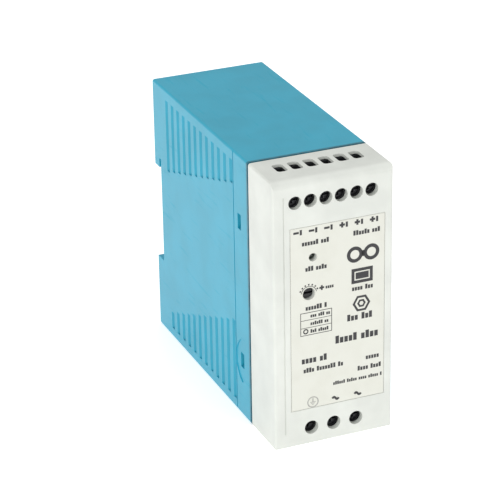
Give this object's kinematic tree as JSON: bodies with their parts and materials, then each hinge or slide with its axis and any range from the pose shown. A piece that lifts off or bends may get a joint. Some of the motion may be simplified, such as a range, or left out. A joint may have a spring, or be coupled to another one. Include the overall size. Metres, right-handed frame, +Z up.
{
  "type": "din rail power supply",
  "caption": "Slim enclosed AC/DC power supply that clips onto a 35 mm rail, with screw terminals behind its front cover.",
  "frame": {"origin": "centre of the case's underside", "axes": "+X to the right seen from the front, +Y from the front face towards the rail, +Z up"},
  "size_m": [0.04, 0.1, 0.09],
  "materials": {
    "housing_plastic": "fine matt texture",
    "cover_plastic": "fine matt texture",
    "label_film": "satin printed film",
    "latch_plastic": "fine matt texture",
    "spring_steel": "drawn wire",
    "circuit_board": "green solder mask",
    "black_plastic": "moulded",
    "terminal_plastic": "moulded",
    "tinned_brass": "tinned",
    "clamp_steel": "nickel plated",
    "screw_steel": "zinc plated",
    "lamp_resin": "tinted resin",
    "trimmer_plastic": "moulded",
    "rotor_plastic": "moulded",
    "insulation_film": "polyester film",
    "fuse_ceramic": "ceramic tube",
    "dark_coating": "dipped coating",
    "blue_coating": "dipped coating",
    "yellow_plastic": "moulded box",
    "yellow_tape": "polyester tape",
    "ferrite": "sintered",
    "powder_core": "coated",
    "copper_wire": "enamelled wire",
    "capacitor_sleeve": "shrink sleeve",
    "sheet_aluminium": "mill finish"
  },
  "bodies": {
    "case": {"housing": "housing_plastic", "front_cover": "cover_plastic", "front_label": "label_film", "front_board": "circuit_board", "board_header": "black_plastic", "header_pins": "tinned_brass", "status_led": "lamp_resin", "trimmer_body": "trimmer_plastic", "output_terminal_block": "terminal_plastic", "output_contacts": "tinned_brass", "input_terminal_block": "terminal_plastic", "input_contacts": "tinned_brass", "main_board": "circuit_board", "insulation_sheet": "insulation_film", "fuse": "fuse_ceramic", "thermistor": "dark_coating", "varistor": "blue_coating", "x_capacitor": "yellow_plastic", "y_capacitor": "blue_coating", "line_choke_core": "ferrite", "line_choke_windings": "copper_wire", "bridge_rectifier": "black_plastic", "bulk_capacitor": "capacitor_sleeve", "primary_heatsink": "sheet_aluminium", "switch_transistor": "black_plastic", "control_chip": "black_plastic", "optocouplers": "black_plastic", "transformer_core": "ferrite", "transformer_bobbin": "black_plastic", "transformer_windings": "yellow_tape", "secondary_heatsink": "sheet_aluminium", "output_rectifier": "black_plastic", "heatsink_screws": "screw_steel", "output_choke_core": "powder_core", "output_choke_winding": "copper_wire", "output_capacitors": "capacitor_sleeve", "latch_spring": "spring_steel"},
    "latch": {"din_latch": "latch_plastic"},
    "trimmer": {"trimmer_rotor": "rotor_plastic"},
    "output_screw_1": {"output_screw_1": "screw_steel"},
    "output_clamp_1": {"output_clamp_1": "clamp_steel"},
    "output_screw_2": {"output_screw_2": "screw_steel"},
    "output_clamp_2": {"output_clamp_2": "clamp_steel"},
    "output_screw_3": {"output_screw_3": "screw_steel"},
    "output_clamp_3": {"output_clamp_3": "clamp_steel"},
    "output_screw_4": {"output_screw_4": "screw_steel"},
    "output_clamp_4": {"output_clamp_4": "clamp_steel"},
    "output_screw_5": {"output_screw_5": "screw_steel"},
    "output_clamp_5": {"output_clamp_5": "clamp_steel"},
    "output_screw_6": {"output_screw_6": "screw_steel"},
    "output_clamp_6": {"output_clamp_6": "clamp_steel"},
    "input_screw_1": {"input_screw_1": "screw_steel"},
    "input_clamp_1": {"input_clamp_1": "clamp_steel"},
    "input_screw_2": {"input_screw_2": "screw_steel"},
    "input_clamp_2": {"input_clamp_2": "clamp_steel"},
    "input_screw_3": {"input_screw_3": "screw_steel"},
    "input_clamp_3": {"input_clamp_3": "clamp_steel"}
  },
  "joints": [
    {"name": "latch_slide", "type": "slide", "parent": "case", "child": "latch", "axis": [0, 0, -1], "range_m": [0, 0.005], "stiffness_N_per_m": 1500, "springref_m": -0.003, "deforming": ["latch_spring"]},
    {"name": "trimmer_turn", "type": "hinge", "parent": "case", "child": "trimmer", "pos_m": [-0.0083, -0.045, 0.052], "axis": [0, 1, 0], "range_deg": [-135, 135]},
    {"name": "output_screw_1_turn", "type": "hinge", "parent": "case", "child": "output_screw_1", "pos_m": [-0.0127, -0.045, 0.0828], "axis": [0, 1, 0], "range_deg": [0, 2240]},
    {"name": "output_clamp_1_slide", "type": "slide", "parent": "case", "child": "output_clamp_1", "axis": [0, -1, 0], "range_m": [0, 0.0028]},
    {"name": "output_screw_2_turn", "type": "hinge", "parent": "case", "child": "output_screw_2", "pos_m": [-0.00762, -0.045, 0.0828], "axis": [0, 1, 0], "range_deg": [0, 2240]},
    {"name": "output_clamp_2_slide", "type": "slide", "parent": "case", "child": "output_clamp_2", "axis": [0, -1, 0], "range_m": [0, 0.0028]},
    {"name": "output_screw_3_turn", "type": "hinge", "parent": "case", "child": "output_screw_3", "pos_m": [-0.00254, -0.045, 0.0828], "axis": [0, 1, 0], "range_deg": [0, 2240]},
    {"name": "output_clamp_3_slide", "type": "slide", "parent": "case", "child": "output_clamp_3", "axis": [0, -1, 0], "range_m": [0, 0.0028]},
    {"name": "output_screw_4_turn", "type": "hinge", "parent": "case", "child": "output_screw_4", "pos_m": [0.00254, -0.045, 0.0828], "axis": [0, 1, 0], "range_deg": [0, 2240]},
    {"name": "output_clamp_4_slide", "type": "slide", "parent": "case", "child": "output_clamp_4", "axis": [0, -1, 0], "range_m": [0, 0.0028]},
    {"name": "output_screw_5_turn", "type": "hinge", "parent": "case", "child": "output_screw_5", "pos_m": [0.00762, -0.045, 0.0828], "axis": [0, 1, 0], "range_deg": [0, 2240]},
    {"name": "output_clamp_5_slide", "type": "slide", "parent": "case", "child": "output_clamp_5", "axis": [0, -1, 0], "range_m": [0, 0.0028]},
    {"name": "output_screw_6_turn", "type": "hinge", "parent": "case", "child": "output_screw_6", "pos_m": [0.0127, -0.045, 0.0828], "axis": [0, 1, 0], "range_deg": [0, 2240]},
    {"name": "output_clamp_6_slide", "type": "slide", "parent": "case", "child": "output_clamp_6", "axis": [0, -1, 0], "range_m": [0, 0.0028]},
    {"name": "input_screw_1_turn", "type": "hinge", "parent": "case", "child": "input_screw_1", "pos_m": [-0.00762, -0.045, 0.0058], "axis": [0, 1, 0], "range_deg": [0, 2016]},
    {"name": "input_clamp_1_slide", "type": "slide", "parent": "case", "child": "input_clamp_1", "axis": [0, -1, 0], "range_m": [0, 0.0028]},
    {"name": "input_screw_2_turn", "type": "hinge", "parent": "case", "child": "input_screw_2", "pos_m": [0, -0.045, 0.0058], "axis": [0, 1, 0], "range_deg": [0, 2016]},
    {"name": "input_clamp_2_slide", "type": "slide", "parent": "case", "child": "input_clamp_2", "axis": [0, -1, 0], "range_m": [0, 0.0028]},
    {"name": "input_screw_3_turn", "type": "hinge", "parent": "case", "child": "input_screw_3", "pos_m": [0.00762, -0.045, 0.0058], "axis": [0, 1, 0], "range_deg": [0, 2016]},
    {"name": "input_clamp_3_slide", "type": "slide", "parent": "case", "child": "input_clamp_3", "axis": [0, -1, 0], "range_m": [0, 0.0028]}
  ],
  "couplings": [
    {"joint": "output_screw_1_turn", "follows": "output_clamp_1_slide", "rad_per_m": 13963},
    {"joint": "output_screw_2_turn", "follows": "output_clamp_2_slide", "rad_per_m": 13963},
    {"joint": "output_screw_3_turn", "follows": "output_clamp_3_slide", "rad_per_m": 13963},
    {"joint": "output_screw_4_turn", "follows": "output_clamp_4_slide", "rad_per_m": 13963},
    {"joint": "output_screw_5_turn", "follows": "output_clamp_5_slide", "rad_per_m": 13963},
    {"joint": "output_screw_6_turn", "follows": "output_clamp_6_slide", "rad_per_m": 13963},
    {"joint": "input_screw_1_turn", "follows": "input_clamp_1_slide", "rad_per_m": 12566},
    {"joint": "input_screw_2_turn", "follows": "input_clamp_2_slide", "rad_per_m": 12566},
    {"joint": "input_screw_3_turn", "follows": "input_clamp_3_slide", "rad_per_m": 12566}
  ]
}
